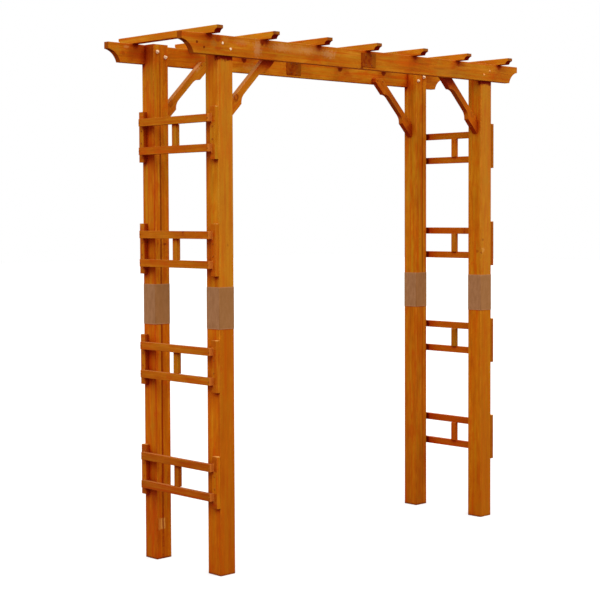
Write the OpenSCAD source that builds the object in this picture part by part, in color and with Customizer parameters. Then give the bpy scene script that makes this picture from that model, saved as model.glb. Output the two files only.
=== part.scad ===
// Garden arbor of stained timber: four square posts in two lengths each, two
// coved beams let into the posts, seven cross rafters, four knee braces and
// four small lattice panels on each side.
// X runs along the beams, +Y to the rear, +Z up. Millimetres.
// The origin is on the ground, midway between the four posts.

/* [Overall] */
// Width over the outer faces of the posts, along X
frame_w = 2040; // [1500:1:3400]
// Depth over the outer faces of the posts, along Y
frame_d = 578; // [420:1:1400]
// Height of the post tops, which is that of the beam tops too
frame_h = 2566; // [2130:1:3400]

/* [Posts] */
// Side of the square posts
post_size = 92; // [70:1:140]
// Rounding of the long edges of the posts
post_ease = 3; // [1:0.5:8]
// How far the joint in a post lies below the middle of its height
joint_drop = 4; // [0:1:30]
// Height of the sleeve over the joint between the two lengths of a post
sleeve_h = 200; // [100:1:240]
// Wall of the sleeve
sleeve_wall = 1.5; // [1:0.5:6]

/* [Beams] */
// Thickness of a beam, along Y
beam_t = 34; // [24:1:50]
// Height of a beam
beam_h = 95; // [70:1:140]
// How far a beam runs past the outer face of a post
beam_overhang = 225; // [120:1:400]
// How far a beam stands out from the post that it is let into
beam_proud = 8; // [0:1:20]
// Height left square at the end of a beam, above the cove
beam_nose = 33; // [15:1:60]
// How far the cove runs along the underside of a beam
cove_run = 71; // [40:1:90]
// Radius of the cove
cove_r = 84; // [68:1:140]
// Rounding of the long edges of beams and rafters
board_ease = 2; // [0.5:0.5:4]
// Width of the plate over the joint between the two halves of a beam
plate_w = 108; // [60:1:200]
// Height of the plate
plate_h = 72; // [40:1:90]
// Thickness of the plate
plate_t = 2; // [1:0.5:5]

/* [Rafters] */
// Width of a rafter, along X
rafter_w = 38; // [25:1:60]
// Height of a rafter
rafter_h = 34; // [25:1:60]
// How far a rafter runs past the outer faces of the beams
rafter_overhang = 78; // [40:1:200]
// Distance from the end of a beam to the middle of the first rafter
rafter_end_gap = 165; // [60:1:220]
// Height left square at the end of a rafter, above its cove
rafter_nose = 16; // [12:1:24]
// How far that cove runs along the underside
rafter_run = 21; // [8:1:28]
// Radius of that cove
rafter_cove = 23; // [20:1:60]

/* [Knee braces] */
// Thickness of a brace, along Y
brace_t = 31; // [24:1:50]
// Depth of a brace at its ends, square to its length
brace_depth = 56; // [46:1:80]
// Depth of a brace at its waist
brace_waist = 34; // [28:1:44]
// How far a brace reaches from its post along the beam
brace_reach = 306; // [260:1:420]
// How far a brace laps up the inner face of its beam
brace_lap = 33; // [20:1:65]
// Height of the plumb cut at the upper end of a brace
brace_tip = 24; // [10:1:40]
// Length of the full-depth stretch next to the post, along the underside
brace_foot = 112; // [60:1:130]
// Length of the full-depth stretch at the beam, along the underside
brace_heel = 96; // [50:1:110]
// Radius of the coves that end the scooped waist
scoop_r = 60; // [45:1:65]

/* [Lattice panels] */
// Height of the upright cleats of a panel
panel_h = 250; // [180:1:300]
// Clear height between one panel and the next above it
panel_gap = 303; // [285:1:340]
// Width of a cleat, along Y
cleat_w = 35; // [28:1:60]
// How far the cleats run past the rails, above and below
cleat_tail = 36; // [10:1:45]
// Width of a rail, up and down
rail_w = 37; // [20:1:50]
// How far the end of a rail stops short of the outer edge of a cleat
rail_inset = 24; // [0:1:26]
// Width of the short upright between the rails
stile_w = 32; // [15:1:50]
// How far that upright is set back from the outer faces of the rails
stile_back = 10; // [0:1:15]
// Thickness of every stick of a panel, along X
stick_t = 22; // [12:1:35]

/* [Hidden] */

wood = "#b4661c";
brown = "#96672f";
rust = "#82400f";

// Segments in a full turn of a small round; the large ones have twice as many
fn = 48;
// How far a cut runs past the face that it opens through
past = 1;
left = -1;
right = 1;
front = -1;
rear = 1;
outward = 1;
inward = -1;
rafter_count = 7;
panel_count = 4;

// The joint in a post is also the middle of its sleeve and of the panels
joint_z = frame_h / 2 - joint_drop;
post_x = (frame_w - post_size) / 2;
post_y = (frame_d - post_size) / 2;

beam_z = frame_h - beam_h;
beam_end = frame_w / 2 + beam_overhang;
beam_out_y = frame_d / 2 + beam_proud;
beam_in_y = beam_out_y - beam_t;
notch_depth = beam_t - beam_proud;

rafter_len = 2 * (beam_out_y + rafter_overhang);
rafter_pitch = 2 * (beam_end - rafter_end_gap) / (rafter_count - 1);

// A brace leans at 45 degrees: its upper edge starts at the post at this
// height, so that the plumb cut at its other end has the height given above
brace_drop = brace_depth * sqrt(2);
brace_top = brace_reach - brace_drop + brace_tip;
brace_z = beam_z + brace_lap - brace_top;

panel_pitch = panel_h + panel_gap;
stack_h = panel_count * panel_pitch - panel_gap;
panel_z = joint_z - stack_h / 2;
rail_len = frame_d - 2 * rail_inset;
stile_h = panel_h - 2 * (cleat_tail + rail_w);

// Where the round of a cove has its middle, measured inward and upward from
// the lower corner at the end of a timber
function cove_centre(radius, run, rise) =
    let(
        chord = norm([run, rise]),
        back = sqrt(pow(radius, 2) - pow(chord / 2, 2))
    )
    [run / 2 - back * rise / chord, rise / 2 - back * run / chord];

// Section of a squared timber with rounded corners, centred on its middle
module timber_section(w, h, ease) {
    square([w - 2 * ease, h], center = true);
    square([w, h - 2 * ease], center = true);
    for (x = [-1, 1], y = [-1, 1])
        translate([x * (w / 2 - ease), y * (h / 2 - ease)])
            circle(r = ease, $fn = fn);
}

// Square timber stood at a corner of the arbor, from z0 up to z1
module post_length(side, face, z0, z1) {
    translate([side * post_x, face * post_y, z0])
        linear_extrude(z1 - z0)
            timber_section(post_size, post_size, post_ease);
}

// Lower length of a post
module post_lower(side, face) {
    color(wood)
        post_length(side, face, 0, joint_z);
}

// Upper length of a post, notched in its outer face for the beam
module post_upper(side, face) {
    color(wood)
        difference() {
            post_length(side, face, joint_z, frame_h);
            translate([side * post_x, face * (beam_in_y + notch_depth), beam_z + beam_h])
                cube([post_size + 2 * past, 2 * notch_depth, 2 * beam_h], center = true);
        }
}

// Sleeve over the joint between the two lengths of a post
module sleeve(side, face) {
    outer = post_size + 2 * sleeve_wall;
    color(brown)
        translate([side * post_x, face * post_y, joint_z - sleeve_h / 2])
            linear_extrude(sleeve_h)
                difference() {
                    timber_section(outer, outer, post_ease + sleeve_wall);
                    timber_section(post_size, post_size, post_ease);
                }
}

// Half of a beam, from the joint at the middle to the coved end
module beam(side, face) {
    centre = cove_centre(cove_r, cove_run, beam_h - beam_nose);
    color(wood)
        translate([0, face * (beam_out_y - beam_t / 2), beam_z])
            difference() {
                translate([side == left ? -beam_end : 0, 0, beam_h / 2])
                    rotate([90, 0, 90])
                        linear_extrude(beam_end)
                            timber_section(beam_t, beam_h, board_ease);
                translate([side * (beam_end - centre[0]), 0, centre[1]])
                    rotate([90, 0, 0])
                        cylinder(r = cove_r, h = beam_t + 2 * past,
                                 center = true, $fn = 2 * fn);
            }
}

// Plate over the joint of a beam, on its outward or its inward face
module plate(face, looks) {
    face_y = looks == outward ? beam_out_y : beam_in_y;
    color(rust)
        translate([0, face * (face_y + looks * plate_t / 2), beam_z + beam_h / 2])
            cube([plate_w, plate_t, plate_h], center = true);
}

// Rafter across both beams, coved under each end; number 1 is the leftmost
module rafter(number) {
    centre = cove_centre(rafter_cove, rafter_run, rafter_h - rafter_nose);
    color(wood)
        translate([(number - (rafter_count + 1) / 2) * rafter_pitch, 0, frame_h])
            difference() {
                translate([0, rafter_len / 2, rafter_h / 2])
                    rotate([90, 0, 0])
                        linear_extrude(rafter_len)
                            timber_section(rafter_w, rafter_h, board_ease);
                for (end = [-1, 1])
                    translate([0, end * (rafter_len / 2 - centre[0]), centre[1]])
                        rotate([0, 90, 0])
                            cylinder(r = rafter_cove, h = rafter_w + 2 * past,
                                     center = true, $fn = fn);
            }
}

// What the scoop takes away under a brace, in a frame that lies along the
// brace: X up its length, Y square to it, the origin on its upper edge
module scoop() {
    centre_y = -(brace_waist + scoop_r);
    shoulder = sqrt(pow(scoop_r, 2) - pow(brace_depth + centre_y, 2));
    x0 = brace_foot - brace_depth + shoulder;
    x1 = brace_reach * sqrt(2) - brace_depth - brace_heel - shoulder;
    for (x = [x0, x1])
        translate([x, centre_y])
            circle(r = scoop_r, $fn = 2 * fn);
    translate([x0, centre_y])
        square([x1 - x0, scoop_r]);
}

// Side view of a brace: X leads away from the post, Y is up, and the origin
// is where the upper edge meets the post
module brace_outline() {
    difference() {
        polygon([
            [0, 0],
            [0, -brace_drop],
            [brace_reach, brace_reach - brace_drop],
            [brace_reach, brace_top],
            [brace_top, brace_top]
        ]);
        rotate(45)
            scoop();
    }
}

// Knee brace from a post to the inner face of the beam
module brace(side, face) {
    color(wood)
        mirror([side == left ? 0 : 1, 0, 0])
            translate([post_size - frame_w / 2, face * (beam_in_y - brace_t / 2), brace_z])
                rotate([90, 0, 0])
                    linear_extrude(brace_t, center = true)
                        brace_outline();
}

// Lattice panel on the outer faces of the two posts of a side: two upright
// cleats, two rails nailed across them and a short upright between the rails
module panel(side, level) {
    color(wood)
        mirror([side == left ? 1 : 0, 0, 0])
            translate([frame_w / 2, 0, panel_z + (level - 1) * panel_pitch]) {
                for (y = [-frame_d / 2, frame_d / 2 - cleat_w])
                    translate([0, y, 0])
                        cube([stick_t, cleat_w, panel_h]);
                for (z = [cleat_tail, panel_h - cleat_tail - rail_w])
                    translate([stick_t, -rail_len / 2, z])
                        cube([stick_t, rail_len, rail_w]);
                translate([stick_t - stile_back, -stile_w / 2, cleat_tail + rail_w])
                    cube([stick_t, stile_w, stile_h]);
            }
}

post_lower(left, front);  // post_lower_front_left
post_lower(right, front);  // post_lower_front_right
post_lower(left, rear);  // post_lower_rear_left
post_lower(right, rear);  // post_lower_rear_right
post_upper(left, front);  // post_upper_front_left
post_upper(right, front);  // post_upper_front_right
post_upper(left, rear);  // post_upper_rear_left
post_upper(right, rear);  // post_upper_rear_right
sleeve(left, front);  // sleeve_front_left
sleeve(right, front);  // sleeve_front_right
sleeve(left, rear);  // sleeve_rear_left
sleeve(right, rear);  // sleeve_rear_right
beam(left, front);  // beam_front_left
beam(right, front);  // beam_front_right
beam(left, rear);  // beam_rear_left
beam(right, rear);  // beam_rear_right
plate(front, outward);  // plate_front_outer
plate(front, inward);  // plate_front_inner
plate(rear, outward);  // plate_rear_outer
plate(rear, inward);  // plate_rear_inner
rafter(1);  // rafter_1
rafter(2);  // rafter_2
rafter(3);  // rafter_3
rafter(4);  // rafter_4
rafter(5);  // rafter_5
rafter(6);  // rafter_6
rafter(7);  // rafter_7
brace(left, front);  // brace_front_left
brace(right, front);  // brace_front_right
brace(left, rear);  // brace_rear_left
brace(right, rear);  // brace_rear_right
panel(left, 1);  // panel_left_1
panel(left, 2);  // panel_left_2
panel(left, 3);  // panel_left_3
panel(left, 4);  // panel_left_4
panel(right, 1);  // panel_right_1
panel(right, 2);  // panel_right_2
panel(right, 3);  // panel_right_3
panel(right, 4);  // panel_right_4
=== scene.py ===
# Garden arbor of stained fir: four square posts, two coved beams, seven rafters,
# four knee braces and eight small lattice panels, with its sleeves, plates,
# bolts and screws. Metres; X along the beams, +Y to the rear, +Z up.
import math

import bmesh
import bpy
from mathutils import Euler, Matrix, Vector


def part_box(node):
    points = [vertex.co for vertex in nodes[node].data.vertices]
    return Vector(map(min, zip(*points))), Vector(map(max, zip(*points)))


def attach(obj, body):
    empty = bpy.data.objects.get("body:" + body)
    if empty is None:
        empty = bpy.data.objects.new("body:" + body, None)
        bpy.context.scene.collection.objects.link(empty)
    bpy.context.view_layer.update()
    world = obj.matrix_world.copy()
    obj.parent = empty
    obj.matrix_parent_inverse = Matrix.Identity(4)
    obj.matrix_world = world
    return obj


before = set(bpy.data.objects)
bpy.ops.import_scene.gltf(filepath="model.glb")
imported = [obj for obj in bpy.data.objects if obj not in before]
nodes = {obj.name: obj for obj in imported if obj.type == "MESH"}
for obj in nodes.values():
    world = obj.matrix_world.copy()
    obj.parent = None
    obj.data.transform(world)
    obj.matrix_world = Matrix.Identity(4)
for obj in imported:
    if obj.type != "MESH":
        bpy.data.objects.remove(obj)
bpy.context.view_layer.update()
bpy.ops.object.select_all(action="DESELECT")

# --- Posts -----------------------------------------------------------------
# Square fir posts in two butted lengths, planed and brushed with a warm
# orange-brown stain. Each length is a stick of its own, with its own heart, tone
# and knots, and the rear pair is glued up from two halves.


def paint(red, green, blue):
    """Colour on the 0 to 255 scale of a paint chart, as linear light."""
    def linear(level):
        share = level / 255
        return share / 12.92 if share <= 0.04045 else ((share + 0.055) / 1.055) ** 2.4
    return (linear(red), linear(green), linear(blue), 1.0)


def put(tree, kind, wires, **settings):
    """Adds a shader node. Each wire is a plain value or another node's output."""
    made = tree.nodes.new("ShaderNode" + kind)
    for name, value in settings.items():
        setattr(made, name, value)
    for socket, value in wires.items():
        if isinstance(value, bpy.types.NodeSocket):
            tree.links.new(value, made.inputs[socket])
        else:
            made.inputs[socket].default_value = value
    return made


def work(tree, operation, first, second=0.0, third=0.0):
    """One step of arithmetic in a node tree."""
    return put(tree, "Math", {0: first, 1: second, 2: third}, operation=operation).outputs[0]


def along(tree, operation, first, second=(0.0, 0.0, 0.0)):
    """One step of vector arithmetic that gives a vector."""
    return put(tree, "VectorMath", {0: first, 1: second}, operation=operation).outputs[0]


def measure(tree, operation, first, second=(0.0, 0.0, 0.0)):
    """A length, or how well two directions agree."""
    return put(tree, "VectorMath", {0: first, 1: second}, operation=operation).outputs["Value"]


def split(tree, place):
    """The X, Y and Z of a vector."""
    return put(tree, "SeparateXYZ", {0: place}).outputs


def gather(tree, x=0.0, y=0.0, z=0.0):
    """A vector from its X, Y and Z."""
    return put(tree, "CombineXYZ", {0: x, 1: y, 2: z}).outputs[0]


def where(tree):
    """Where a point of the surface is on the arbor."""
    return put(tree, "TexCoord", {}).outputs["Object"]


def facing(tree):
    """Which way the surface looks."""
    return put(tree, "TexCoord", {}).outputs["Normal"]


def ramp(tree, value, low, high, out_low=0.0, out_high=1.0):
    """Smooth step of a value from low to high."""
    return put(tree, "MapRange", {"Value": value, "From Min": low, "From Max": high,
                                  "To Min": out_low, "To Max": out_high},
               interpolation_type="SMOOTHSTEP").outputs[0]


def blend(tree, share, first, second, mode="MIX"):
    """Mix of two colours."""
    return put(tree, "Mix", {0: share, 6: first, 7: second},
               data_type="RGBA", blend_type=mode).outputs[2]


def noise(tree, place, scale, detail=2.0, roughness=0.5):
    """Noise from 0 to 1 about a half."""
    return put(tree, "TexNoise", {"Vector": place, "Scale": scale, "Detail": detail,
                                  "Roughness": roughness}).outputs["Fac"]


def streaks(tree, place, across, down, detail=2.0, roughness=0.5):
    """Noise drawn out: so many blotches to a metre across the Z axis, and so many down it."""
    drawn = along(tree, "MULTIPLY", place, (across, across, down))
    return noise(tree, drawn, 1.0, detail, roughness)


def new_group(name, inputs, outputs):
    """Empty node group with named sockets, and its two end nodes."""
    group = bpy.data.node_groups.new(name, "ShaderNodeTree")
    for label, kind, value in inputs:
        socket = group.interface.new_socket(label, in_out="INPUT", socket_type="NodeSocket" + kind)
        if value is not None:
            socket.default_value = value
    for label, kind in outputs:
        group.interface.new_socket(label, in_out="OUTPUT", socket_type="NodeSocket" + kind)
    start = group.nodes.new("NodeGroupInput").outputs
    end = group.nodes.new("NodeGroupOutput").inputs
    return group, start, end


def build_grain():
    """Stained fir, with its painted shade and painted highlights. Place has its Z along the grain
    and its origin in the heart of the log.
    """
    group, given, result = new_group(
        "stained grain with painted shade",
        [("Place", "Vector", None), ("Axis", "Vector", None), ("Face", "Vector", None),
         ("Tone", "Color", None), ("Red", "Float", 0.0), ("Bands", "Float", 0.28),
         ("Knots", "Float", 0.3), ("Ends", "Color", None), ("Underside Shade", "Float", 0.92)],
        [("Color", "Color"), ("Roughness", "Float"), ("Height", "Float")])
    place = given["Place"]

    # The heart wanders a little along the log
    slow = along(group, "MULTIPLY", place, (6.0, 6.0, 1.3))
    drift = put(group, "TexNoise", {"Vector": slow, "Scale": 1.0, "Detail": 2.0}).outputs["Color"]
    drift = along(group, "SUBTRACT", drift, (0.5, 0.5, 0.5))
    drift = along(group, "MULTIPLY", drift, (0.04, 0.04, 0.0))
    log = split(group, along(group, "ADD", place, drift))
    radius = measure(group, "LENGTH", gather(group, log["X"], log["Y"]))
    angle = work(group, "ARCTAN2", log["Y"], log["X"])

    # Knots are branches: they run out from the heart, here and there along it. They are
    # dealt out over the bark laid flat, at so many to a metre round the log and along it
    girth, round_it, along_it = 0.055, 9.0, 3.1
    bark = gather(group, work(group, "MULTIPLY", angle, girth * round_it),
                  work(group, "MULTIPLY", log["Z"], along_it))
    cell = put(group, "TexVoronoi", {"Vector": bark, "Scale": 1.0, "Randomness": 0.9},
               voronoi_dimensions="2D").outputs
    gap = along(group, "SUBTRACT", bark, cell["Position"])
    gap = along(group, "MULTIPLY", gap, (1 / round_it, 1 / along_it, 0.0))
    away = measure(group, "LENGTH", gap)
    pick = split(group, cell["Color"])
    there = work(group, "LESS_THAN", pick["X"], given["Knots"])
    size = work(group, "MULTIPLY_ADD", pick["Y"], 0.005, 0.004)
    edge = work(group, "DIVIDE", away, size)
    knot = work(group, "MULTIPLY", ramp(group, edge, 1.15, 0.85), there)
    rim = work(group, "MULTIPLY", ramp(group, edge, 2.2, 1.0), there)
    bulge = work(group, "MULTIPLY", ramp(group, away, 0.07, 0.0), there)

    # Growth rings: pale early wood that darkens to a thin hard line
    rings_to_a_metre = 130.0
    warp = streaks(group, place, 26.0, 4.0, 3.0)
    count = work(group, "MULTIPLY_ADD", bulge, 0.016, radius)
    count = work(group, "MULTIPLY", count, rings_to_a_metre)
    count = work(group, "MULTIPLY_ADD", warp, 2.6, count)
    ring = work(group, "FRACT", count)
    late = work(group, "POWER", ring, 2.6)
    late = work(group, "MULTIPLY", late, ramp(group, ring, 1.0, 0.88))

    # Streaks of stain and fibre, drawn out along the grain
    broad = streaks(group, place, 24.0, 1.6, 3.0, 0.6)
    fine = streaks(group, place, 150.0, 6.0, 2.0, 0.6)
    fibre = streaks(group, place, 1200.0, 28.0, 1.0)
    mottle = streaks(group, place, 30.0, 11.0, 4.0, 0.6)
    stain = work(group, "MULTIPLY_ADD", fine, 0.34, work(group, "MULTIPLY", broad, 0.62))
    stain = work(group, "MULTIPLY_ADD", mottle, 0.5, stain)
    stain = work(group, "MULTIPLY_ADD", fibre, 0.1, stain)
    color = put(group, "ValToRGB", {0: ramp(group, stain, 0.46, 1.1)})
    stops = color.color_ramp.elements
    stops[0].position, stops[0].color = 0.0, paint(164, 76, 4)
    stops[1].position, stops[1].color = 1.0, paint(208, 138, 36)
    for position, shade in ((0.35, paint(182, 98, 7)), (0.65, paint(192, 112, 14))):
        stops.new(position).color = shade
    color = color.outputs["Color"]

    # Some bands took the stain redder, others stayed a dull straw yellow
    hue = streaks(group, place, 62.0, 2.4)
    color = blend(group, ramp(group, hue, 0.52, 0.7, 0.0, 0.62), color, paint(192, 78, 2))
    color = blend(group, ramp(group, hue, 0.47, 0.31, 0.0, 0.6), color, paint(184, 124, 22))
    cloud = streaks(group, place, 19.0, 8.0, 4.0, 0.62)
    color = blend(group, ramp(group, cloud, 0.53, 0.72, 0.0, 0.62), color, paint(188, 76, 4))
    color = blend(group, ramp(group, cloud, 0.46, 0.3, 0.0, 0.5), color, paint(176, 116, 24))
    color = blend(group, work(group, "MULTIPLY", late, given["Bands"]), color, paint(150, 52, 3))
    color = blend(group, work(group, "MULTIPLY", rim, 0.5), color, paint(156, 64, 6))
    color = blend(group, work(group, "MULTIPLY", knot, 0.75), color, paint(116, 44, 4))

    # The ends of the grain take the stain in their own way
    normal = facing(group)
    end = work(group, "ABSOLUTE", measure(group, "DOT_PRODUCT", normal, given["Axis"]))
    end = ramp(group, end, 0.55, 0.95)
    color = blend(group, work(group, "MULTIPLY", end, 0.7), color, given["Ends"])

    # Lighter on the arrises: sanding leaves the stain thin there, and a painted highlight stands in
    # for light catching the eased edge
    side = work(group, "ABSOLUTE", measure(group, "DOT_PRODUCT", normal, given["Face"]))
    arris = work(group, "MULTIPLY", ramp(group, side, 0.2, 0.45), ramp(group, side, 0.97, 0.8))
    arris = work(group, "MULTIPLY", arris, ramp(group, mottle, 0.35, 0.65, 0.05, 0.55))
    color = blend(group, arris, color, paint(208, 134, 56))

    # Darker and redder towards the feet, up to so high: partly damp stain, partly painted shade of
    # the light from above
    shade_and_damp_top = 0.9
    rise = split(group, where(group))["Z"]
    color = blend(group, ramp(group, rise, shade_and_damp_top, 0.0), color,
                  (0.86, 0.76, 0.5, 1.0), "MULTIPLY")

    # The lowest centimetre of each foot is painted nearly brown
    color = blend(group, ramp(group, rise, 0.011, 0.003, 0.0, 0.7), color, paint(84, 36, 6))

    # Painted shade: faces that look down are painted the deep dark red of shade
    upward = split(group, normal)["Z"]
    underside_shade_mask = ramp(group, upward, -0.3, -0.7)
    color = blend(group, work(group, "MULTIPLY", underside_shade_mask, given["Underside Shade"]), color, paint(136, 20, 1))

    # Faces that look up are painted a lighter dull tan: a painted highlight of the sky, and some
    # sun-bleaching
    color = blend(group, ramp(group, upward, 0.4, 0.65, 0.0, 0.7), color, paint(182, 122, 66))

    # Painted shade: ambient occlusion darkens and reddens the colour under whatever is overhead,
    # and in tight corners
    sloped = ramp(group, upward, 0.6, 0.2)
    leaning = along(group, "NORMALIZE", along(group, "ADD", normal, (0.0, 0.0, 0.75)))

    def openness(distance):
        return put(group, "AmbientOcclusion", {"Distance": distance, "Normal": leaning},
                   samples=8).outputs["AO"]

    above, corner = openness(0.12), openness(0.025)
    soft = work(group, "MULTIPLY", sloped, ramp(group, above, 0.86, 0.45))
    color = blend(group, soft, color, (0.92, 0.36, 0.12, 1.0), "MULTIPLY")
    deep = work(group, "MULTIPLY", sloped, ramp(group, above, 0.6, 0.22, 0.0, 0.85))
    color = blend(group, deep, color, paint(138, 22, 0))
    tight_painted_shade = work(group, "MULTIPLY", sloped, ramp(group, corner, 0.84, 0.45, 0.0, 0.6))
    color = blend(group, tight_painted_shade, color, paint(132, 18, 0))

    color = blend(group, given["Red"], color, paint(186, 70, 4))
    color = blend(group, 1.0, color, given["Tone"], "MULTIPLY")
    group.links.new(color, result["Color"])
    rough = work(group, "MULTIPLY_ADD", fine, 0.16, 0.6)
    dull = work(group, "MAXIMUM", underside_shade_mask, work(group, "MULTIPLY", end, 0.85))
    group.links.new(work(group, "MAXIMUM", rough, dull), result["Roughness"])
    height = work(group, "MULTIPLY_ADD", late, 0.5, work(group, "MULTIPLY", fibre, 0.5))
    height = work(group, "SUBTRACT", height, work(group, "MULTIPLY", knot, 0.5))
    group.links.new(height, result["Height"])
    return group


def build_mark():
    """A soft-edged spot in the colour: a knot, a worn place, a filled hole, a brush mark, a painted
    shadow or painted shade.
    """
    group, given, result = new_group(
        "stain and shade mark",
        [("Color", "Color", None), ("Centre", "Vector", None), ("Reach", "Vector", None),
         ("Shade", "Color", None), ("Share", "Float", 0.5), ("Ragged", "Float", 0.5),
         ("Square", "Float", 0.0)],
        [("Color", "Color")])
    spot = where(group)
    off = along(group, "SUBTRACT", spot, given["Centre"])
    off = along(group, "ABSOLUTE", along(group, "DIVIDE", off, given["Reach"]))
    sides = split(group, off)
    far = work(group, "MAXIMUM", sides["X"], work(group, "MAXIMUM", sides["Y"], sides["Z"]))
    far = work(group, "MULTIPLY", far, given["Square"])
    oval = work(group, "SUBTRACT", 1.0, given["Square"])
    far = work(group, "MULTIPLY_ADD", measure(group, "LENGTH", off), oval, far)
    torn = work(group, "SUBTRACT", noise(group, spot, 95.0, 4.0, 0.6), 0.5)
    far = work(group, "MULTIPLY_ADD", torn, work(group, "MULTIPLY", given["Ragged"], 3.0), far)
    soft = work(group, "MULTIPLY_ADD", given["Ragged"], 0.9, 0.12)
    cover = ramp(group, far, 1.0, work(group, "SUBTRACT", 1.0, soft), 0.0, given["Share"])
    group.links.new(blend(group, cover, given["Color"], given["Shade"]), result["Color"])
    return group


grain_group = build_grain()
mark_group = build_mark()
UPRIGHT = (0.0, 0.0, 0.0)


def lie_of(turn):
    """Direction that the Z axis takes when it is turned by these angles."""
    return Euler(turn).to_matrix() @ Vector((0.0, 0.0, 1.0))


def mark(tree, color, centre, reach, shade, share, ragged, square=0.0):
    """Lays one spot, of stain, wear or painted shade, over a colour."""
    made = put(tree, "Group", {}, node_tree=mark_group)
    tree.links.new(color, made.inputs["Color"])
    for socket, value in (("Centre", centre), ("Reach", reach), ("Shade", paint(*shade)),
                          ("Share", share), ("Ragged", ragged), ("Square", square)):
        made.inputs[socket].default_value = value
    return made.outputs["Color"]


def new_finish(name):
    """A new material, with its node tree and its shader."""
    finish = bpy.data.materials.new(name)
    finish.use_nodes = True
    return finish, finish.node_tree, finish.node_tree.nodes["Principled BSDF"]


def lay(tree, shader, color, roughness, height, strength, depth, gloss):
    """Gives a shader its colour, its roughness, its relief of so many metres and its gloss."""
    tree.links.new(color, shader.inputs["Base Color"])
    tree.links.new(roughness, shader.inputs["Roughness"])
    bump = put(tree, "Bump", {"Height": height, "Strength": strength, "Distance": depth})
    tree.links.new(bump.outputs[0], shader.inputs["Normal"])
    shader.inputs["Specular IOR Level"].default_value = gloss


def stained_timber(name, turn, heart, face, tone=(1.0, 1.0, 1.0), red=0.0, bands=0.28,
                   knots=0.3, ends=(150, 72, 26), underside_shade_share=0.92, marks=()):
    """Stained fir, with its painted shade, for one timber: turn lays the grain, heart is a point in
    the log's heart.
    """
    timber, tree, shader = new_finish(name)
    place = put(tree, "Mapping", {"Vector": where(tree), "Location": heart, "Rotation": turn},
                vector_type="TEXTURE").outputs[0]
    grain = put(tree, "Group", {}, node_tree=grain_group)
    grain.name = "grain"
    for socket, value in (("Axis", lie_of(turn)), ("Face", face), ("Tone", (*tone, 1.0)),
                          ("Red", red), ("Bands", bands), ("Knots", knots),
                          ("Ends", paint(*ends)), ("Underside Shade", underside_shade_share)):
        grain.inputs[socket].default_value = value
    tree.links.new(place, grain.inputs["Place"])
    color = grain.outputs["Color"]
    for values in marks:
        color = mark(tree, color, *values)
    lay(tree, shader, color, grain.outputs["Roughness"], grain.outputs["Height"],
        strength=0.35, depth=0.0006, gloss=0.03)
    return timber


def dress(piece, material):
    """Gives a piece one material all over."""
    for slot in piece.material_slots:
        slot.link = "OBJECT"
        slot.material = material
    if not piece.material_slots:
        piece.data.materials.append(material)


def ease(piece, width):
    """Takes the sharpness off every arris of a CAD piece, as sandpaper or a file does."""
    weld = piece.modifiers.new("weld", "WELD")
    weld.merge_threshold = 0.00001
    arris = piece.modifiers.new("arris", "BEVEL")
    arris.width = width
    arris.segments = 2
    arris.limit_method = "ANGLE"
    arris.angle_limit = math.radians(50)


# For each post: where its heart lies from the post's middle, its grain contrast,
# and the tone of its lower and upper length
post_kinds = {
    "front_left": ((0.012, -0.020), 0.30,
                   {"lower": (1.02, 0.88, 0.45), "upper": (1.02, 1.08, 0.9)}),
    "front_right": ((-0.018, 0.014), 0.26,
                    {"lower": (0.97, 0.88, 0.45), "upper": (1.0, 1.03, 0.75)}),
    "rear_left": ((0.030, 0.026), 0.42,
                  {"lower": (0.99, 0.85, 0.45), "upper": (1.02, 1.02, 0.8)}),
    "rear_right": ((-0.010, -0.026), 0.36,
                   {"lower": (0.92, 0.84, 0.5), "upper": (1.04, 1.1, 0.8)}),
}
# Y of the faces that look forward, on the front posts and on the rear posts
front_face = round(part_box("post_upper_front_left")[0].y, 4)
rear_face = round(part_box("post_upper_rear_left")[0].y, 4)


# A mark, of stain, wear or painted shade, is a centre, a reach each way from it, a shade, a share
# from 0 to 1, a raggedness and, where it is not an oval, a squareness
def weathered(x, z, shade, share, ragged):
    """Sun and rain over the whole forward face of one length of a front post."""
    return ((x, front_face, z), (0.09, 0.02, 1.5), shade, share, ragged)


def glue_line(x, share):
    """The dark line where the two halves of a rear post were glued, down its inner face."""
    return ((x, rear_face, 1.3), (0.0065, 0.004, 1.5), (118, 18, 2), share, 0.2, 1.0)


def beam_shadow_band(x):
    """The painted shadow of the beam: a dark band just under it on the post's forward face."""
    return ((x, front_face, 2.474), (0.07, 0.026, 0.031), (104, 8, 0), 1.0, 0.4, 1.0)


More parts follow.
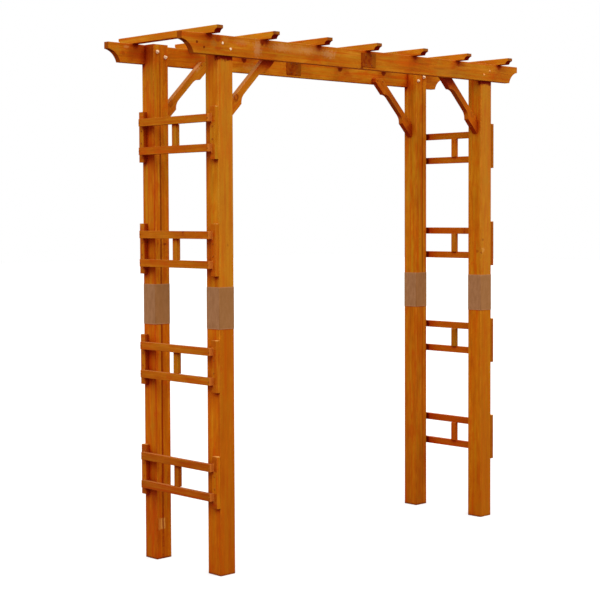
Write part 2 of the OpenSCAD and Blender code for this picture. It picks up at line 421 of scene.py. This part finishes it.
red_edge = ((-1.02, rear_face, 1.3), (0.006, 0.008, 1.4), (158, 30, 2), 0.5, 0.3)
post_marks = {
    "post_lower_front_left": [weathered(-0.97, 0.7, (156, 78, 6), 0.5, 0.5)],
    "post_upper_front_left": [weathered(-0.97, 1.8, (182, 114, 28), 0.4, 0.6),
                              beam_shadow_band(-0.974)],
    "post_lower_front_right": [weathered(0.98, 0.7, (168, 98, 12), 0.45, 0.5)],
    "post_upper_front_right": [
        weathered(0.98, 1.9, (184, 118, 34), 0.45, 0.6),
        beam_shadow_band(0.974),
        # A knocked place just above the sleeve
        ((0.95, front_face, 1.518), (0.016, 0.012, 0.024), (216, 150, 72), 0.5, 0.6),
        ((0.928, -0.264, 1.512), (0.006, 0.012, 0.012), (150, 66, 10), 0.7, 0.4),
        ((0.933, front_face, 1.505), (0.007, 0.012, 0.009), (132, 52, 8), 0.7, 0.3),
    ],
    "post_lower_rear_left": [
        red_edge,
        # A filled patch low down, beside the glue line
        ((-1.003, rear_face, 0.177), (0.008, 0.004, 0.034), (186, 112, 44), 0.6, 0.3, 1.0),
        ((-0.982, rear_face, 0.177), (0.016, 0.004, 0.031), (198, 130, 54), 0.85, 0.12, 1.0),
        glue_line(-0.981, 0.75),
    ],
    "post_upper_rear_left": [
        red_edge, glue_line(-0.981, 0.35),
        ((-0.981, rear_face, 1.5), (0.0065, 0.004, 0.75), (112, 14, 2), 0.6, 0.25, 1.0),
    ],
    "post_lower_rear_right": [glue_line(0.985, 0.25)],
    "post_upper_rear_right": [glue_line(0.985, 0.5)],
}
for corner, (heart_off, bands, tones) in post_kinds.items():
    # Lifted along its log, the upper length shows other wood than the lower
    for length, lift in (("lower", 0.0), ("upper", 7.3)):
        post = nodes[f"post_{length}_{corner}"]
        low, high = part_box(post.name)
        middle = (low + high) / 2
        heart = (middle.x + heart_off[0], middle.y + heart_off[1], middle.z + lift)
        dress(post, stained_timber(f"fir {post.name}", UPRIGHT, heart, face=(1.0, 0.0, 0.0),
                                   tone=tones[length], bands=bands, knots=0.16,
                                   marks=post_marks.get(post.name, ())))
        ease(post, 0.0012)

# --- Beams -----------------------------------------------------------------
# Each beam is two planed boards butted at the middle, with a square nose and a
# quarter-round cove sawn at the outer end. They lie in the notches of the posts.
ALONG_X = (0.0, math.pi / 2, 0.0)
beam_hearts = {"front_left": (0.05, -0.035), "front_right": (-0.06, 0.03),
               "rear_left": (0.045, 0.02), "rear_right": (-0.04, -0.045)}
# Y of the faces that look forward, on the front beam and on the rear beam
beam_front = round(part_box("beam_front_left")[0].y, 4)
beam_rear = round(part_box("beam_rear_left")[0].y, 4)


def rafter_shadow(x):
    """The painted shadow of a rafter: a dark spot at the top of the rear beam's inner face."""
    return ((x, beam_rear, 2.546), (0.024, 0.006, 0.027), (104, 8, 0), 0.85, 0.3)


beam_marks = {
    # Two plugged holes and a brushed knot, a painted shadow under the second rafter, then a long
    # pale streak rubbed by a strap
    "front_left": [
        ((-1.154, beam_front, 2.523), (0.008, 0.005, 0.008), (112, 34, 2), 0.9, 0.15),
        ((-1.111, beam_front, 2.501), (0.007, 0.005, 0.007), (112, 30, 2), 0.9, 0.15),
        ((-1.024, beam_front, 2.548), (0.022, 0.01, 0.022), (150, 40, 2), 0.6, 0.5),
        ((-1.052, beam_front, 2.522), (0.024, 0.01, 0.022), (170, 112, 38), 0.5, 0.6),
        ((-1.025, beam_front, 2.502), (0.03, 0.01, 0.013), (168, 52, 8), 0.5, 0.6),
        ((-0.775, beam_front, 2.522), (0.034, 0.01, 0.05), (194, 136, 88), 0.5, 0.7),
        # Painted shadow under the second rafter
        ((-0.744, beam_front, 2.554), (0.017, 0.01, 0.025), (118, 20, 0), 0.85, 0.4),
        ((-0.48, beam_front, 2.534), (0.27, 0.01, 0.03), (190, 124, 56), 0.4, 0.6),
        ((-0.62, beam_front, 2.538), (0.075, 0.01, 0.026), (198, 138, 88), 0.32, 0.7),
        ((-0.45, beam_front, 2.536), (0.07, 0.01, 0.02), (200, 142, 92), 0.3, 0.8),
        ((-0.29, beam_front, 2.528), (0.06, 0.01, 0.03), (204, 148, 100), 0.36, 0.7),
        ((-0.88, beam_front, 2.54), (0.06, 0.01, 0.018), (196, 130, 70), 0.35, 0.8),
        ((-0.98, beam_front, 2.545), (0.03, 0.01, 0.02), (196, 126, 40), 0.4, 0.7),
    ],
    # Cloudy stain, and two thin dark lines of hard grain
    "front_right": [
        ((0.3, beam_front, 2.535), (0.14, 0.01, 0.04), (196, 86, 6), 0.5, 0.7),
        ((0.62, beam_front, 2.5), (0.17, 0.01, 0.03), (176, 116, 30), 0.4, 0.7),
        ((0.45, beam_front, 2.53), (0.09, 0.01, 0.008), (150, 66, 6), 0.5, 0.6),
        ((0.56, beam_front, 2.512), (0.08, 0.01, 0.007), (150, 66, 6), 0.45, 0.6),
    ],
    # Cloudy stain at the outer end, with a rubbed place at its top edge
    "rear_left": [
        ((-1.09, beam_rear, 2.52), (0.055, 0.008, 0.05), (156, 60, 6), 0.4, 0.6),
        ((-1.137, beam_rear, 2.549), (0.02, 0.008, 0.01), (202, 132, 70), 0.55, 0.5),
        ((-1.155, beam_rear, 2.516), (0.014, 0.008, 0.013), (150, 62, 6), 0.6, 0.4),
        ((-1.19, beam_rear, 2.53), (0.02, 0.008, 0.03), (176, 116, 26), 0.5, 0.6),
        rafter_shadow(-0.362),
        ((-0.29, beam_rear, 2.5), (0.1, 0.006, 0.025), (190, 128, 60), 0.4, 0.7),
    ],
    "rear_right": [rafter_shadow(x) for x in (0.0, 0.36, 0.72)],
}
RAFTERS = range(1, 8)
for corner, (heart_y, heart_z) in beam_hearts.items():
    beam = nodes[f"beam_{corner}"]
    low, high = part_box(beam.name)
    middle = (low + high) / 2
    heart = (middle.x, middle.y + heart_y, middle.z + heart_z)
    at_front = "front" in corner
    # Painted shade at the top of the cove, which looks down, and a painted shadow on the outer face
    # below each rafter
    cove_top = (math.copysign(1.232, middle.x), middle.y, 2.521)
    painted_shade_marks = [(cove_top, (0.026, 0.0165, 0.0135), (92, 14, 0), 0.85, 0.1, 1.0)]
    for number in RAFTERS:
        rafter_low, rafter_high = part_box(f"rafter_{number}")
        across = (rafter_low.x + rafter_high.x) / 2
        if low.x < across < high.x + 0.001:
            below = (across, low.y if at_front else high.y, high.z - 0.008)
            painted_shade_marks.append((below, (0.03, 0.006, 0.028), (150, 44, 2), 0.4, 0.5))
    dress(beam, stained_timber(f"fir {beam.name}", ALONG_X, heart, face=(0.0, 1.0, 0.0),
                               knots=0.3, tone=(0.97, 0.97, 0.97) if at_front else (1.0, 1.0, 0.9),
                               ends=(132, 50, 6), underside_shade_share=0.5, marks=beam_marks[corner] + painted_shade_marks))
    ease(beam, 0.001)

# --- Rafters ---------------------------------------------------------------
# Square fir battens with a small cove sawn under each end, laid across both
# beams and screwed down. The coves are painted dark red, as shade.
ALONG_Y = (-math.pi / 2, 0.0, 0.0)
# Two of them took less stain than the rest
rafter_tones = {2: (1.2, 1.42, 1.5), 6: (1.15, 1.24, 1.2)}
for number in RAFTERS:
    rafter = nodes[f"rafter_{number}"]
    low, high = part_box(rafter.name)
    middle = (low + high) / 2
    # Each batten is sawn from another side of its log
    swing, from_heart = number * 2.4, 0.04
    heart = (middle.x + from_heart * math.cos(swing), middle.y + number,
             middle.z + from_heart * math.sin(swing))
    # Painted shade in the coves under the ends
    cove_painted_shade = [((middle.x, row * 0.364, 2.572), (0.0186, 0.021, 0.0148), (112, 8, 0),
              0.95, 0.05, 1.0) for row in (-1, 1)]
    dress(rafter, stained_timber(f"fir {rafter.name}", ALONG_Y, heart, face=(1.0, 0.0, 0.0),
                                 knots=0.2, tone=rafter_tones.get(number, (1.08, 1.14, 1.1)),
                                 ends=(112, 56, 20), marks=cove_painted_shade))
    ease(rafter, 0.001)

# --- Knee braces -----------------------------------------------------------
# Sawn from flat fir board, grain along the slope, with a scooped waist below.
# They stand against the posts, lap the inner faces of the beams and are screwed.

# How plainly the dark ring shows round the plug at each foot
ring_shares = {"front_left": 0.8, "front_right": 0.3, "rear_left": 0.4, "rear_right": 0.3}
for corner, ring_share in ring_shares.items():
    brace = nodes[f"brace_{corner}"]
    low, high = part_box(brace.name)
    middle = (low + high) / 2
    way = -1 if "left" in corner else 1
    heart = (middle.x + 0.02, middle.y + 0.045, middle.z - 0.03)
    marks = []
    for y in (low.y, high.y):
        plug = (way * 0.885, y, 2.283)
        marks.append((plug, (0.021, 0.006, 0.026), (126, 46, 4), ring_share, 0.35))
        marks.append((plug, (0.008, 0.006, 0.012), (186, 92, 12), ring_share, 0.3))
    if corner == "rear_left":
        # The upper edge is rubbed pale near the head
        marks.append(((-0.715, middle.y, 2.472), (0.035, 0.03, 0.03), (210, 148, 96), 0.5, 0.6))
    if way > 0:
        # The right pair is browner round the waist and redder at the foot
        waist, foot = (0.768, middle.y, 2.373), (0.905, middle.y, 2.215)
        foot_share = 0.3 if "front" in corner else 0.6
        marks.append((waist, (0.11, 0.05, 0.11), (140, 66, 16), 0.55, 0.6))
        marks.append((foot, (0.035, 0.05, 0.05), (136, 26, 0), foot_share, 0.5))
    if "front" in corner:
        # Under the beam the heads get a dark red painted shadow of the beam
        down_to, shade = (0.1, (142, 34, 3)) if way > 0 else (0.07, (156, 40, 4))
        marks.append(((way * 0.65, middle.y, 2.49), (0.12, 0.05, down_to), shade, 0.92, 0.35))
    dress(brace, stained_timber(f"fir {brace.name}", (0.0, -way * math.pi / 4, 0.0), heart,
                                face=(0.0, 1.0, 0.0), ends=(96, 18, 2),
                                red=0.0 if way < 0 else 0.25, knots=0.2, marks=marks))
    ease(brace, 0.0015)

# --- Lattice panels --------------------------------------------------------
# Two upright fir cleats on the outer faces of the posts, two rails nailed across
# them and a short stile between the rails, each stick cut along its own grain.
LEVELS = range(1, 5)
SIDES = (("left", -1), ("right", 1))
# Tones of the sticks, from the lowest panel of a side to the highest
rail_tones = {
    "left": ((0.74, 0.58, 0.5), (0.83, 0.73, 0.6), (0.88, 0.79, 0.6), (0.91, 0.86, 0.6)),
    "right": ((0.86, 0.64, 0.7), (0.91, 0.87, 0.8), (0.94, 0.86, 0.8), (1.0, 1.05, 0.9))}
cleat_tones = {
    "left": ((1.0, 1.05, 0.7), (0.83, 0.76, 0.5), (0.86, 0.84, 0.6), (0.92, 1.06, 0.9)),
    "right": ((0.66, 0.7, 0.6), (0.66, 0.7, 0.6), (0.7, 0.72, 0.6), (0.7, 0.72, 0.6))}
stile_tones = {
    "left": ((0.76, 0.7, 0.7), (0.8, 1.05, 1.0), (0.97, 1.12, 1.0), (0.9, 1.05, 1.0)),
    "right": ((0.9, 0.72, 0.8), (0.72, 1.02, 1.2), (0.85, 0.97, 1.0), (1.14, 1.3, 1.2))}
# Height of the rails above the feet of the cleats, and half the gap between the rails
rail_rises, half_window = (0.0545, 0.1955), 0.0515
# Distance out from the middle of the arbor at which the cleats end and the rails begin
rail_seat = 1.0415
# Distance to the front or rear at which a stick is a cleat and no longer the stile
stile_reach = 0.05
for side, way in SIDES:
    for level in LEVELS:
        panel = nodes[f"panel_{side}_{level}"]
        low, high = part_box(panel.name)
        middle = (low + high) / 2
        heart = (middle.x + 0.03, middle.y + level, middle.z + 0.02)
        low_down = level < 3
        # The top ends of the cleats are rubbed nearly bare, and carry a painted highlight
        marks = [((way * 1.031, row * 0.283, high.z), (0.014, 0.010, 0.005), (232, 172, 88),
                  0.7, 0.3) for row in (-1, 1)]
        # The rails' ends are worn tan
        worn_end = (190, 106, 32) if low_down else (198, 116, 40)
        marks += [((way * 1.053, row * 0.266, low.z + rise), (0.02, 0.005, 0.026), worn_end,
                   0.7, 0.3, 1.0) for row in (-1, 1) for rise in rail_rises]
        if way > 0:
            # Painted shade on the inside of the right-hand rails, where they pass behind the rear
            # post
            marks += [((way * 1.042, 0.214, low.z + rise), (0.014, 0.026, 0.024), (100, 8, 0),
                       0.9, 0.3) for rise in rail_rises]
        timber = stained_timber(f"fir {panel.name}", ALONG_Y, heart, face=(1.0, 0.0, 0.0),
                                red=0.06 if way < 0 else 0.36, knots=0.1,
                                ends=(228, 146, 84) if low_down else (208, 122, 62), marks=marks)
        tree = timber.node_tree
        grain = tree.nodes["grain"]
        # Rails stand proud of the cleats, above and below the stile; the rest is upright
        spot = split(tree, where(tree))
        rise = work(tree, "SUBTRACT", spot["Z"], middle.z)
        rail = work(tree, "GREATER_THAN", work(tree, "ABSOLUTE", spot["X"]), rail_seat)
        outside = work(tree, "GREATER_THAN", work(tree, "ABSOLUTE", rise), half_window)
        rail = work(tree, "MULTIPLY", rail, outside)
        # The upper rail comes from another part of the log than the lower one
        which = work(tree, "SIGN", rise)
        shift = gather(tree, work(tree, "MULTIPLY", which, 0.02), 0.0,
                       work(tree, "MULTIPLY", which, 0.7))
        lying = along(tree, "ADD", grain.inputs["Place"].links[0].from_socket, shift)
        # Each upright is a stick of its own: its y, rounded off, sets its lift
        stick = work(tree, "ROUND", work(tree, "MULTIPLY", spot["Y"], 4.0))
        stood = gather(tree, work(tree, "SUBTRACT", spot["X"], way * 1.0), spot["Y"],
                       work(tree, "MULTIPLY_ADD", stick, 1.7, spot["Z"]))
        place = put(tree, "Mix", {0: rail, 4: stood, 5: lying}, data_type="VECTOR").outputs[1]
        tree.links.new(place, grain.inputs["Place"])
        axis = gather(tree, 0.0, rail, work(tree, "SUBTRACT", 1.0, rail))
        tree.links.new(axis, grain.inputs["Axis"])
        # The rails took more stain than the uprights, most of all low down
        stile = work(tree, "LESS_THAN", work(tree, "ABSOLUTE", spot["Y"]), stile_reach)
        rail_tone, cleat_tone, stile_tone = ((*tones[side][level - 1], 1.0)
                                             for tones in (rail_tones, cleat_tones, stile_tones))
        tone = blend(tree, rail, blend(tree, stile, cleat_tone, stile_tone), rail_tone)
        tree.links.new(tone, grain.inputs["Tone"])
        dress(panel, timber)
        ease(panel, 0.0012)

# --- Sleeves ---------------------------------------------------------------
# Thin steel tubes painted taupe, pushed over the joint of each post. The paint
# is brushed round the tube and thinner along the rims, with a painted highlight there, and the
# corners get a painted shade.
sleeve_paint, tree, shader = new_finish("taupe paint")
spot, normal = where(tree), facing(tree)
mottle = streaks(tree, spot, 70.0, 22.0, 3.0)
brushed = streaks(tree, spot, 60.0, 700.0)
color = blend(tree, ramp(tree, mottle, 0.3, 0.7), paint(142, 95, 56), paint(156, 108, 70))
color = blend(tree, ramp(tree, brushed, 0.35, 0.7, 0.0, 0.3), color, paint(132, 88, 52))
# The paint looks a shade more olive on the faces turned to the front and rear
turned = split(tree, along(tree, "ABSOLUTE", normal))
color = blend(tree, ramp(tree, turned["Y"], 0.5, 0.9, 0.0, 0.4), color, paint(144, 92, 30))
sleeve_low, sleeve_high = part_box("sleeve_front_left")
sides = split(tree, spot)
from_middle = work(tree, "SUBTRACT", sides["Z"], (sleeve_low.z + sleeve_high.z) / 2)
# Lighter along the rims: thinner paint, and a painted highlight
rim = ramp(tree, work(tree, "ABSOLUTE", from_middle), 0.094, 0.0985, 0.0, 0.5)
color = blend(tree, rim, color, paint(176, 122, 84))
# Painted shade on the corners, damping the light they catch
corner_painted_shade = ramp(tree, work(tree, "MULTIPLY", turned["X"], turned["Y"]), 0.05, 0.4)
color = blend(tree, corner_painted_shade, color, (0.92, 0.9, 0.86, 1.0), "MULTIPLY")
# The paint on the right-hand sleeves is a touch paler
right_hand = ramp(tree, sides["X"], 0.8, 0.9)
color = blend(tree, right_hand, color, (1.05, 1.05, 1.05, 1.0), "MULTIPLY")
lay(tree, shader, color, work(tree, "MULTIPLY_ADD", mottle, 0.2, 0.5), brushed,
    strength=0.2, depth=0.0003, gloss=0.15)
for corner in post_kinds:
    sleeve = nodes[f"sleeve_{corner}"]
    dress(sleeve, sleeve_paint)
    ease(sleeve, 0.0004)

# --- Splice plates ---------------------------------------------------------
# Flat steel plates over the joint of each beam, one on each face, coated a dull
# reddish brown that the weather has mottled.
plate_names = ("plate_front_outer", "plate_front_inner", "plate_rear_outer", "plate_rear_inner")
plate_coat, tree, shader = new_finish("rust brown coat")
spot = where(tree)
mottle = noise(tree, spot, 55.0, 4.0, 0.6)
color = blend(tree, ramp(tree, mottle, 0.32, 0.68), paint(134, 44, 1), paint(158, 74, 4))
# Towards the right-hand edge it fades to olive
fade = work(tree, "MULTIPLY_ADD", noise(tree, spot, 22.0, 3.0), 0.05, split(tree, spot)["X"])
color = blend(tree, ramp(tree, fade, 0.03, 0.075, 0.0, 0.55), color, paint(154, 88, 8))
specks = ramp(tree, noise(tree, spot, 420.0, 2.0), 0.6, 0.75, 0.0, 0.4)
color = blend(tree, specks, color, paint(92, 26, 2))
lay(tree, shader, color, work(tree, "MULTIPLY_ADD", mottle, 0.25, 0.6), mottle,
    strength=0.25, depth=0.0008, gloss=0.03)
for name in plate_names:
    dress(nodes[name], plate_coat)
    ease(nodes[name], 0.0006)

# --- Bolts -----------------------------------------------------------------
# Two zinc carriage bolts, one above the other on a slant, hold each beam in the
# notch of its post: domed head on the beam, washer and cap nut behind the post.


def plated(name, pale, deep, metallic, gloss):
    """Zinc plate with a cloudy bloom, either bright or browned by stain brushed over it."""
    finish, tree, shader = new_finish(name)
    bloom = noise(tree, where(tree), 260.0, 4.0, 0.65)
    color = blend(tree, ramp(tree, bloom, 0.35, 0.7), paint(*pale), paint(*deep))
    tree.links.new(color, shader.inputs["Base Color"])
    tree.links.new(ramp(tree, bloom, 0.3, 0.75, 0.22, 0.5), shader.inputs["Roughness"])
    shader.inputs["Metallic"].default_value = metallic
    shader.inputs["Specular IOR Level"].default_value = gloss
    return finish


def only(piece, wanted):
    """In edit mode, selects just the faces whose middle and normal pass a test."""
    bpy.ops.mesh.select_mode(type="FACE")
    bpy.ops.mesh.select_all(action="DESELECT")
    shape = bmesh.from_edit_mesh(piece.data)
    shape.faces.ensure_lookup_table()
    for side in shape.faces:
        side.select_set(wanted(side.calc_center_median(), side.normal))
    bmesh.update_edit_mesh(piece.data)


def settle(piece):
    """Puts a piece's place into its mesh, so that its object sits at the origin."""
    bpy.ops.object.select_all(action="DESELECT")
    piece.select_set(True)
    bpy.context.view_layer.objects.active = piece
    bpy.ops.object.transform_apply(location=True, rotation=True, scale=True)


def join(pieces, name):
    """Makes several pieces one, with its place in its mesh."""
    bpy.ops.object.select_all(action="DESELECT")
    for piece in pieces:
        piece.select_set(True)
    bpy.context.view_layer.objects.active = pieces[0]
    bpy.ops.object.join()
    whole = bpy.context.object
    settle(whole)
    whole.name = whole.data.name = name
    return whole


def copies(model, name, places):
    """Copies a modelled piece to each place, given as a turn and a point, as one mesh."""
    made = []
    for turn, point in places:
        copy = model.copy()
        copy.data = model.data.copy()
        bpy.context.collection.objects.link(copy)
        copy.rotation_euler, copy.location = turn, point
        made.append(copy)
    return join(made, name)


def dome(name, width, height, back):
    """A shallow dome facing -Y, cut from a ball, with its flat at y = back."""
    ball = (width ** 2 / 4 + height ** 2) / (2 * height)
    bpy.ops.mesh.primitive_uv_sphere_add(segments=20, ring_count=24, radius=ball,
                                         location=(0.0, back + ball - height, 0.0),
                                         rotation=(math.pi / 2, 0.0, 0.0))
    cap = bpy.context.object
    settle(cap)
    bpy.ops.object.mode_set(mode="EDIT")
    bpy.ops.mesh.select_all(action="SELECT")
    bpy.ops.mesh.bisect(plane_co=(0.0, back, 0.0), plane_no=(0.0, 1.0, 0.0), use_fill=True,
                        clear_outer=True, threshold=0.000001)
    bpy.ops.object.mode_set(mode="OBJECT")
    cap.name = name
    return cap


def turned_disc(sides, radius, near, far, rounding):
    """A flat disc or hexagon from y = near out to y = far, with its front edges eased."""
    bpy.ops.mesh.primitive_cylinder_add(vertices=sides, radius=radius, depth=near - far,
                                        location=(0.0, (near + far) / 2, 0.0),
                                        rotation=(math.pi / 2, 0.0, 0.0))
    disc = bpy.context.object
    settle(disc)
    bpy.ops.object.mode_set(mode="EDIT")
    only(disc, lambda middle, normal: normal.y < -0.9)
    bpy.ops.mesh.bevel(offset=rounding, affect="EDGES")
    bpy.ops.object.mode_set(mode="OBJECT")
    return disc


# Domed head, with its back on the beam at y = 0
bolt_head = dome("bolt_head", width=0.0135, height=0.0036, back=0.0)

# Washer and cap nut, with their back on the post at y = 0 and facing -Y
washer = turned_disc(sides=24, radius=0.009, near=0.0, far=-0.002, rounding=0.0005)
hexagon = turned_disc(sides=6, radius=0.0075, near=-0.002, far=-0.009, rounding=0.0009)
nut_dome = dome("nut_dome", width=0.0112, height=0.0056, back=-0.0085)
bolt_nut = join([washer, hexagon, nut_dome], "bolt_nut")
bright_zinc = plated("bright zinc", (244, 214, 178), (226, 188, 148), metallic=0.6, gloss=0.5)
for piece in (bolt_head, bolt_nut):
    dress(piece, bright_zinc)

# Distance out from the middle of the arbor, and height, of the two bolts of a post
bolt_spots = ((0.996, 2.529), (0.946, 2.505))
outer_face = abs(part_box("beam_front_left")[0].y)
inner_face = abs(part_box("post_upper_front_left")[1].y)
FORWARD, BACKWARD = (0.0, 0.0, 0.0), (0.0, 0.0, math.pi)
for corner in post_kinds:
    row = -1 if "front" in corner else 1
    way = -1 if "left" in corner else 1
    outward, inward = (FORWARD, BACKWARD) if row < 0 else (BACKWARD, FORWARD)
    heads = copies(bolt_head, "heads", [(outward, (way * out, row * outer_face, up))
                                        for out, up in bolt_spots])
    nuts = copies(bolt_nut, "nuts", [(inward, (way * out, row * inner_face, up))
                                     for out, up in bolt_spots])
    bolts = join([heads, nuts], f"bolts_{corner}")
    bolts.data.shade_smooth()
    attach(bolts, "root")
for piece in (bolt_head, bolt_nut):
    bpy.data.objects.remove(piece, do_unlink=True)
# The heads on the right are given a matte orange tan
tan_zinc = plated("matte tan on bolts_front_right", (236, 164, 92), (218, 140, 70),
                      metallic=0.0, gloss=0.03)
dress(bpy.data.objects["bolts_front_right"], tan_zinc)

# --- Screws ----------------------------------------------------------------
# Small pan-head screws with a recess hold on the plates, rafters, braces and
# panels. Their yellow zinc has gone brown under the stain brushed over it.
bpy.ops.mesh.primitive_cylinder_add(vertices=12, radius=0.0038, depth=0.0016,
                                    location=(0.0, 0.0, 0.0008))
screw = bpy.context.object
settle(screw)
bpy.ops.object.mode_set(mode="EDIT")
only(screw, lambda middle, normal: normal.z > 0.9)
bpy.ops.mesh.inset(thickness=0.0009)
bpy.ops.transform.translate(value=(0.0, 0.0, 0.0006))
bpy.ops.mesh.inset(thickness=0.0012)
bpy.ops.mesh.extrude_region_move(TRANSFORM_OT_translate={"value": (0.0, 0.0, -0.0012)})
bpy.ops.transform.resize(value=(0.75, 0.75, 1.0), center_override=(0.0, 0.0, 0.001))
bpy.ops.object.mode_set(mode="OBJECT")
browned_zinc = plated("browned zinc", (172, 94, 22), (130, 60, 10), metallic=0.1, gloss=0.05)
dress(screw, browned_zinc)

TO_FRONT, TO_REAR = (math.pi / 2, 0.0, 0.0), (-math.pi / 2, 0.0, 0.0)
TO_SIDE = {-1: (0.0, -math.pi / 2, 0.0), 1: (0.0, math.pi / 2, 0.0)}

# Four to a plate
plate_screws = []
for name in plate_names:
    low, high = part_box(name)
    middle = (low + high) / 2
    looks_ahead = name in ("plate_front_outer", "plate_rear_inner")
    turn, y = (TO_FRONT, low.y) if looks_ahead else (TO_REAR, high.y)
    plate_screws += [(turn, (middle.x + across, y, middle.z + up))
                     for across in (-0.021, 0.021) for up in (-0.025, 0.025)]

# One down through each end of a rafter into the middle of the beam
half_beam = 0.017
rafter_screws = []
for number in RAFTERS:
    low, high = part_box(f"rafter_{number}")
    rafter_screws += [(UPRIGHT, ((low.x + high.x) / 2, row * (outer_face - half_beam), high.z))
                      for row in (-1, 1)]

# Two through a brace's head into the beam, and one up through its foot into the post
brace_screws = []
for corner in ring_shares:
    low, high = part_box(f"brace_{corner}")
    way = -1 if "left" in corner else 1
    turn, y = (TO_REAR, high.y) if "front" in corner else (TO_FRONT, low.y)
    brace_screws += [(turn, (way * out, y, up)) for out, up in ((0.638, 2.489), (0.68, 2.486))]
    slope = (0.0, -way * math.radians(135), 0.0)
    brace_screws.append((slope, (way * 0.888, (low.y + high.y) / 2, 2.2136)))

# At each end of a rail, and two more in each cleat, which lies so much further in
cleat_depth = 0.022
panel_screws = {"left": [], "right": []}
for side, way in SIDES:
    for level in LEVELS:
        low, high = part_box(f"panel_{side}_{level}")
        middle = (low + high) / 2
        outer = low.x if way < 0 else high.x
        for row in (-1, 1):
            for x, y, rise in ((outer, 0.2595, 0.0705), (outer - way * cleat_depth, 0.2715, 0.03)):
                panel_screws[side] += [(TO_SIDE[way], (x, row * y, middle.z + up))
                                       for up in (-rise, rise)]

for name, places in (("screws_plates", plate_screws), ("screws_rafters", rafter_screws),
                     ("screws_braces", brace_screws), ("screws_panels_left", panel_screws["left"]),
                     ("screws_panels_right", panel_screws["right"])):
    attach(copies(screw, name, places), "root")
bpy.data.objects.remove(screw, do_unlink=True)
# The plates' screws are duller than the rest
dullest_zinc = plated("stain over screws_plates", (158, 86, 40), (122, 58, 18),
                      metallic=0.1, gloss=0.03)
dress(bpy.data.objects["screws_plates"], dullest_zinc)

# --- Stage -----------------------------------------------------------------
# A wide white floor under a soft white sky, with two broad lamps: the key from
# the front right, and a fill from the front left.
bpy.ops.mesh.primitive_plane_add(size=80.0, location=(0.0, 0.0, 0.0))
floor = bpy.context.object
floor.name = "floor"


def seen_directly(tree):
    """1 for what the camera sees, itself or in metal and glass, and 0 for the light that falls."""
    rays = put(tree, "LightPath", {}).outputs
    through = work(tree, "MAXIMUM", rays["Is Glossy Ray"], rays["Is Transmission Ray"])
    return work(tree, "MAXIMUM", rays["Is Camera Ray"], through)


# The floor keeps the arbor's shadow and is plain white where it is seen, and it
# throws back less light than it shows
ground = bpy.data.materials.new("white floor")
ground.use_nodes = True
tree = ground.node_tree
tree.nodes.clear()
white, floor_light = (1.0, 1.0, 1.0, 1.0), (0.26, 0.235, 0.21, 1.0)
dull = put(tree, "BsdfDiffuse", {"Color": (0.86, 0.86, 0.86, 1.0)}).outputs[0]
glow = put(tree, "Emission", {"Color": white, "Strength": 1.0}).outputs[0]
shown = put(tree, "MixShader", {0: 0.55, 1: dull, 2: glow}).outputs[0]
thrown = put(tree, "BsdfDiffuse", {"Color": floor_light}).outputs[0]
either = put(tree, "MixShader", {0: seen_directly(tree), 1: thrown, 2: shown}).outputs[0]
tree.links.new(either, put(tree, "OutputMaterial", {}).inputs[0])
floor.data.materials.append(ground)

# The sky is brighter overhead than at the horizon; seen directly it is plain white
world = bpy.data.worlds.new("studio")
bpy.context.scene.world = world
world.use_nodes = True
tree = world.node_tree
tree.nodes.clear()
horizon_level, overhead_gain = 0.56, 1.2
lift = split(tree, put(tree, "TexCoord", {}).outputs["Generated"])["Z"]
lift = work(tree, "MAXIMUM", lift, 0.0)
level = work(tree, "MULTIPLY_ADD", lift, overhead_gain, horizon_level)
level = put(tree, "Mix", {0: seen_directly(tree), 2: level, 3: 1.0}).outputs[0]
sky = put(tree, "Background", {"Color": white, "Strength": level}).outputs[0]
tree.links.new(sky, put(tree, "OutputWorld", {}).inputs[0])

# Each lamp: its strength, how wide it looks, its height above the floor and how far
# round to the right of straight in front it stands, in degrees
for name, strength, spread, height, round_to in (("key", 0.64, 20, 58, 35),
                                                 ("fill", 1.1, 40, 40, -50)):
    bpy.ops.object.light_add(type="SUN", rotation=(math.radians(90 - height), 0.0,
                                                   math.radians(round_to)))
    lamp = bpy.context.object
    lamp.name = name
    lamp.data.energy = strength
    lamp.data.angle = math.radians(spread)

# The camera stands at eye height to the left of the front, and looks along the diagonal
bpy.ops.object.camera_add(location=(-5.5381, -5.5276, 1.7149))
camera = bpy.context.object
heading, dip, roll = 0.7669, -0.0411, -0.0037
camera.rotation_euler = (math.pi / 2 + dip, -roll, -heading)
camera.data.sensor_width = 36.0
camera.data.lens = 87.80
camera.data.shift_x = 0.0004
camera.data.shift_y = -0.0397
camera.data.clip_end = 200.0
bpy.context.scene.camera = camera
bpy.context.scene.view_settings.view_transform = "Standard"
